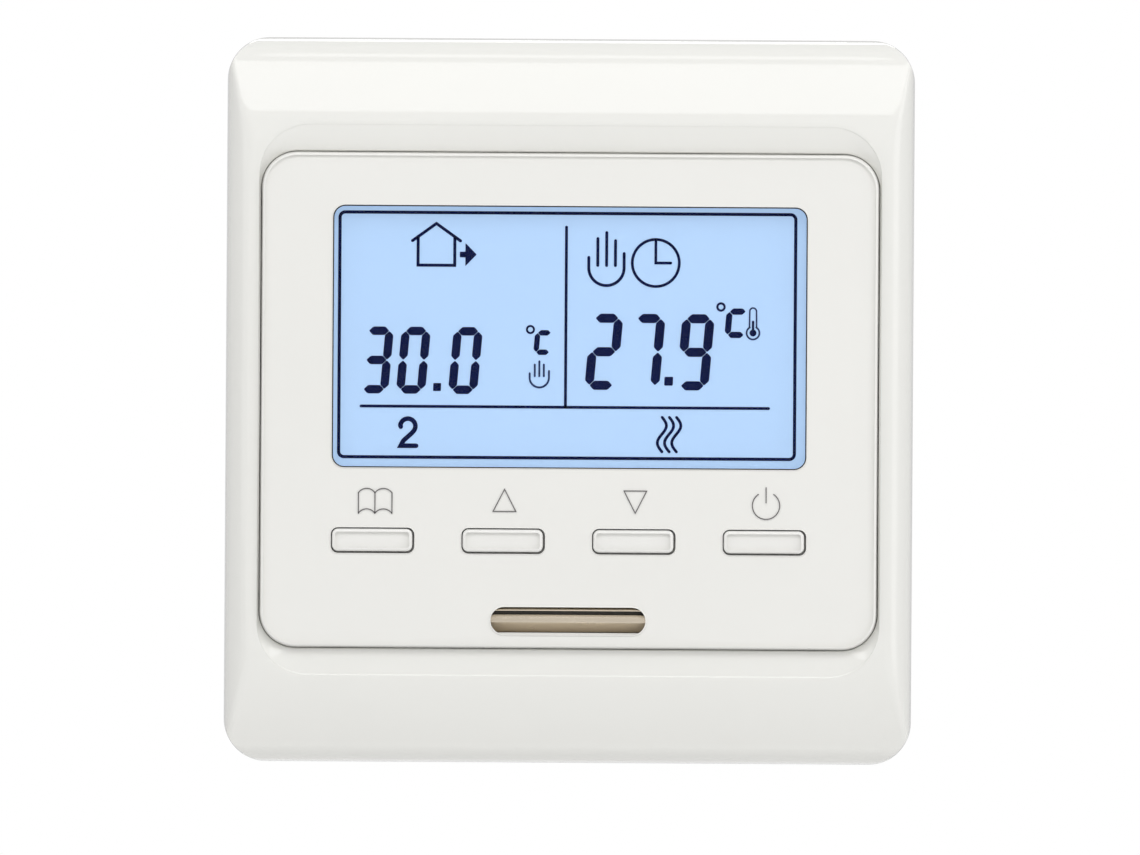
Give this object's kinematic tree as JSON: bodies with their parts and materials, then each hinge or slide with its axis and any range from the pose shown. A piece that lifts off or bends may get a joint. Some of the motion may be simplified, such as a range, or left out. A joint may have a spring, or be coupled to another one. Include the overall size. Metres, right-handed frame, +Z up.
{
  "type": "programmable timer",
  "caption": "Flush-mount programmable heating timer and room thermostat with a backlit display, press keys, a lift-off frame and a rear wiring box.",
  "frame": {"origin": "centre of the wall plane, which is the rear face of the steel bracket, midway between the two mounting screws", "axes": "+Z up, +X to the right seen from the room, the display faces -Y and the rear box reaches along +Y into the wall"},
  "size_m": [0.086, 0.0432, 0.0906],
  "materials": {
    "frame_plastic": "glossy warm white moulded plastic",
    "panel_plastic": "satin warm white moulded plastic",
    "key_plastic": "satin white moulded plastic",
    "clear_lens": "clear acrylic window",
    "lcd_glass": "display glass with a blue lit background",
    "light_guide": "milky acrylic light guide",
    "white_nylon": "white engineering plastic",
    "zebra_rubber": "soft grey elastomer",
    "circuit_green": "green circuit board with solder mask",
    "chip_black": "black moulded epoxy",
    "switch_black": "black switch moulding",
    "steel": "zinc plated sheet steel",
    "spring_steel": "thin spring steel",
    "yellow_zinc": "yellow passivated zinc on steel",
    "screw_steel": "bright zinc plated steel",
    "nickel_bar": "satin nickel plated plastic",
    "housing_plastic": "light grey flame-retardant plastic",
    "relay_blue": "blue moulded plastic",
    "film_yellow": "yellow box-shaped capacitor case",
    "can_sleeve": "dark heat-shrunk sleeve",
    "disc_blue": "blue dipped epoxy",
    "fuse_black": "dark moulded fuse body",
    "contact_brass": "tinned brass",
    "terminal_green": "green terminal moulding",
    "led_white": "light source with a pale lens",
    "sensor_bead": "dark glass-sealed bead"
  },
  "bodies": {
    "base": {"mounting_bracket": "steel", "mounting_screws": "yellow_zinc", "rear_housing": "housing_plastic", "base_cover": "housing_plastic", "housing_screws": "screw_steel", "power_board": "circuit_green", "relay": "relay_blue", "film_capacitor": "film_yellow", "electrolytic_capacitor": "can_sleeve", "varistor": "disc_blue", "fuse": "fuse_black", "power_small_parts": "chip_black", "header_socket": "switch_black", "terminal_block": "terminal_green", "terminal_contacts": "contact_brass"},
    "frame": {"outer_frame": "frame_plastic"},
    "front_module": {"front_panel": "panel_plastic", "window_lens": "clear_lens", "trim_bar": "nickel_bar", "lcd_glass": "lcd_glass", "lcd_light_guide": "light_guide", "lcd_holder": "white_nylon", "zebra_strip": "zebra_rubber", "backlight_leds": "led_white", "control_board": "circuit_green", "control_chip": "chip_black", "board_small_parts": "chip_black", "backup_cell": "screw_steel", "room_sensor": "sensor_bead", "key_switch_bases": "switch_black", "key_switch_covers": "steel", "header_strip": "switch_black", "header_pins": "contact_brass", "module_back_cover": "white_nylon", "module_screws": "screw_steel", "key_menu_dome": "spring_steel", "key_up_dome": "spring_steel", "key_down_dome": "spring_steel", "key_power_dome": "spring_steel"},
    "key_menu_body": {"key_menu": "key_plastic", "key_menu_plunger": "switch_black"},
    "key_up_body": {"key_up": "key_plastic", "key_up_plunger": "switch_black"},
    "key_down_body": {"key_down": "key_plastic", "key_down_plunger": "switch_black"},
    "key_power_body": {"key_power": "key_plastic", "key_power_plunger": "switch_black"},
    "terminal_1_screw_body": {"terminal_screw_1": "screw_steel"},
    "terminal_1_cage_body": {"terminal_cage_1": "contact_brass"},
    "terminal_2_screw_body": {"terminal_screw_2": "screw_steel"},
    "terminal_2_cage_body": {"terminal_cage_2": "contact_brass"},
    "terminal_3_screw_body": {"terminal_screw_3": "screw_steel"},
    "terminal_3_cage_body": {"terminal_cage_3": "contact_brass"},
    "terminal_4_screw_body": {"terminal_screw_4": "screw_steel"},
    "terminal_4_cage_body": {"terminal_cage_4": "contact_brass"},
    "terminal_5_screw_body": {"terminal_screw_5": "screw_steel"},
    "terminal_5_cage_body": {"terminal_cage_5": "contact_brass"},
    "terminal_6_screw_body": {"terminal_screw_6": "screw_steel"},
    "terminal_6_cage_body": {"terminal_cage_6": "contact_brass"}
  },
  "joints": [
    {"name": "frame_lift_off", "type": "slide", "parent": "base", "child": "frame", "axis": [0, -1, 0], "range_m": [0, 0.03]},
    {"name": "front_module_pull", "type": "slide", "parent": "frame", "child": "front_module", "axis": [0, -1, 0], "range_m": [0, 0.03]},
    {"name": "key_menu_press", "type": "slide", "parent": "front_module", "child": "key_menu_body", "axis": [0, 1, 0], "range_m": [0, 0.0004], "stiffness_N_per_m": 2500, "springref_m": -0.0004, "deforming": ["key_menu_dome"]},
    {"name": "key_up_press", "type": "slide", "parent": "front_module", "child": "key_up_body", "axis": [0, 1, 0], "range_m": [0, 0.0004], "stiffness_N_per_m": 2500, "springref_m": -0.0004, "deforming": ["key_up_dome"]},
    {"name": "key_down_press", "type": "slide", "parent": "front_module", "child": "key_down_body", "axis": [0, 1, 0], "range_m": [0, 0.0004], "stiffness_N_per_m": 2500, "springref_m": -0.0004, "deforming": ["key_down_dome"]},
    {"name": "key_power_press", "type": "slide", "parent": "front_module", "child": "key_power_body", "axis": [0, 1, 0], "range_m": [0, 0.0004], "stiffness_N_per_m": 2500, "springref_m": -0.0004, "deforming": ["key_power_dome"]},
    {"name": "terminal_1_cage_rise", "type": "slide", "parent": "base", "child": "terminal_1_cage_body", "axis": [0, 1, 0], "range_m": [0, 0.002]},
    {"name": "terminal_1_screw_turn", "type": "hinge", "parent": "base", "child": "terminal_1_screw_body", "pos_m": [-0.0125, 0.02, -0.0181], "axis": [0, -1, 0], "range_deg": [-5, 1445]},
    {"name": "terminal_2_cage_rise", "type": "slide", "parent": "base", "child": "terminal_2_cage_body", "axis": [0, 1, 0], "range_m": [0, 0.002]},
    {"name": "terminal_2_screw_turn", "type": "hinge", "parent": "base", "child": "terminal_2_screw_body", "pos_m": [-0.0075, 0.02, -0.0181], "axis": [0, -1, 0], "range_deg": [-5, 1445]},
    {"name": "terminal_3_cage_rise", "type": "slide", "parent": "base", "child": "terminal_3_cage_body", "axis": [0, 1, 0], "range_m": [0, 0.002]},
    {"name": "terminal_3_screw_turn", "type": "hinge", "parent": "base", "child": "terminal_3_screw_body", "pos_m": [-0.0025, 0.02, -0.0181], "axis": [0, -1, 0], "range_deg": [-5, 1445]},
    {"name": "terminal_4_cage_rise", "type": "slide", "parent": "base", "child": "terminal_4_cage_body", "axis": [0, 1, 0], "range_m": [0, 0.002]},
    {"name": "terminal_4_screw_turn", "type": "hinge", "parent": "base", "child": "terminal_4_screw_body", "pos_m": [0.0025, 0.02, -0.0181], "axis": [0, -1, 0], "range_deg": [-5, 1445]},
    {"name": "terminal_5_cage_rise", "type": "slide", "parent": "base", "child": "terminal_5_cage_body", "axis": [0, 1, 0], "range_m": [0, 0.002]},
    {"name": "terminal_5_screw_turn", "type": "hinge", "parent": "base", "child": "terminal_5_screw_body", "pos_m": [0.0075, 0.02, -0.0181], "axis": [0, -1, 0], "range_deg": [-5, 1445]},
    {"name": "terminal_6_cage_rise", "type": "slide", "parent": "base", "child": "terminal_6_cage_body", "axis": [0, 1, 0], "range_m": [0, 0.002]},
    {"name": "terminal_6_screw_turn", "type": "hinge", "parent": "base", "child": "terminal_6_screw_body", "pos_m": [0.0125, 0.02, -0.0181], "axis": [0, -1, 0], "range_deg": [-5, 1445]}
  ],
  "couplings": [
    {"joint": "terminal_1_screw_turn", "follows": "terminal_1_cage_rise", "rad_per_m": 12566},
    {"joint": "terminal_2_screw_turn", "follows": "terminal_2_cage_rise", "rad_per_m": 12566},
    {"joint": "terminal_3_screw_turn", "follows": "terminal_3_cage_rise", "rad_per_m": 12566},
    {"joint": "terminal_4_screw_turn", "follows": "terminal_4_cage_rise", "rad_per_m": 12566},
    {"joint": "terminal_5_screw_turn", "follows": "terminal_5_cage_rise", "rad_per_m": 12566},
    {"joint": "terminal_6_screw_turn", "follows": "terminal_6_cage_rise", "rad_per_m": 12566}
  ]
}
